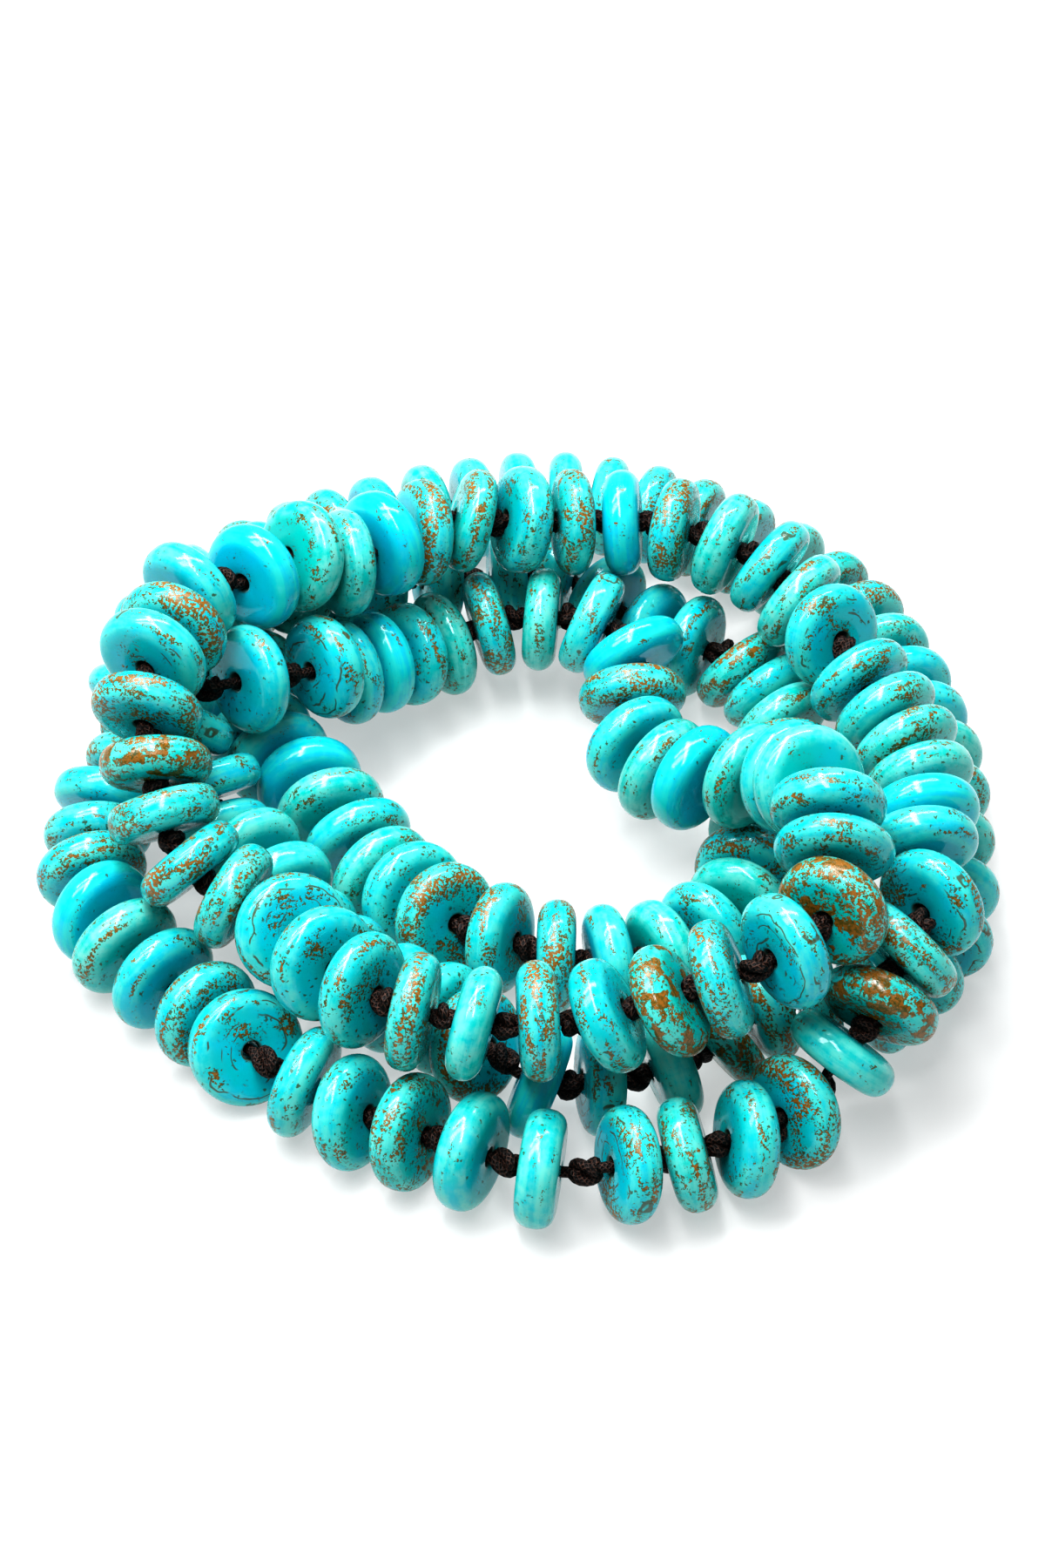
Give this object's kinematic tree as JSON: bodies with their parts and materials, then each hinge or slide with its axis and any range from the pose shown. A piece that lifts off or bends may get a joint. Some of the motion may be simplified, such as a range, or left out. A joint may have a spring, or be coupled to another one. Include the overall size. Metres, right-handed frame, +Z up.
{
  "type": "beaded necklace",
  "caption": "Long endless necklace of rounded stone discs knotted on a braided cord, laid down in a four-turn coil.",
  "frame": {"origin": "middle of the floor that the coiled necklace covers, on the surface it lies on", "axes": "+Z up; the coil was laid clockwise seen from +Z, with its loosest stretch of cord towards -Y"},
  "size_m": [0.1265, 0.1458, 0.0409],
  "materials": {
    "turquoise_stone": "polished, with brown matrix flecks",
    "braided_cord": "fine waxed braid"
  },
  "bodies": {
    "root": {"bead_string_lower": "turquoise_stone", "bead_string_upper": "turquoise_stone"}
  },
  "joints": []
}
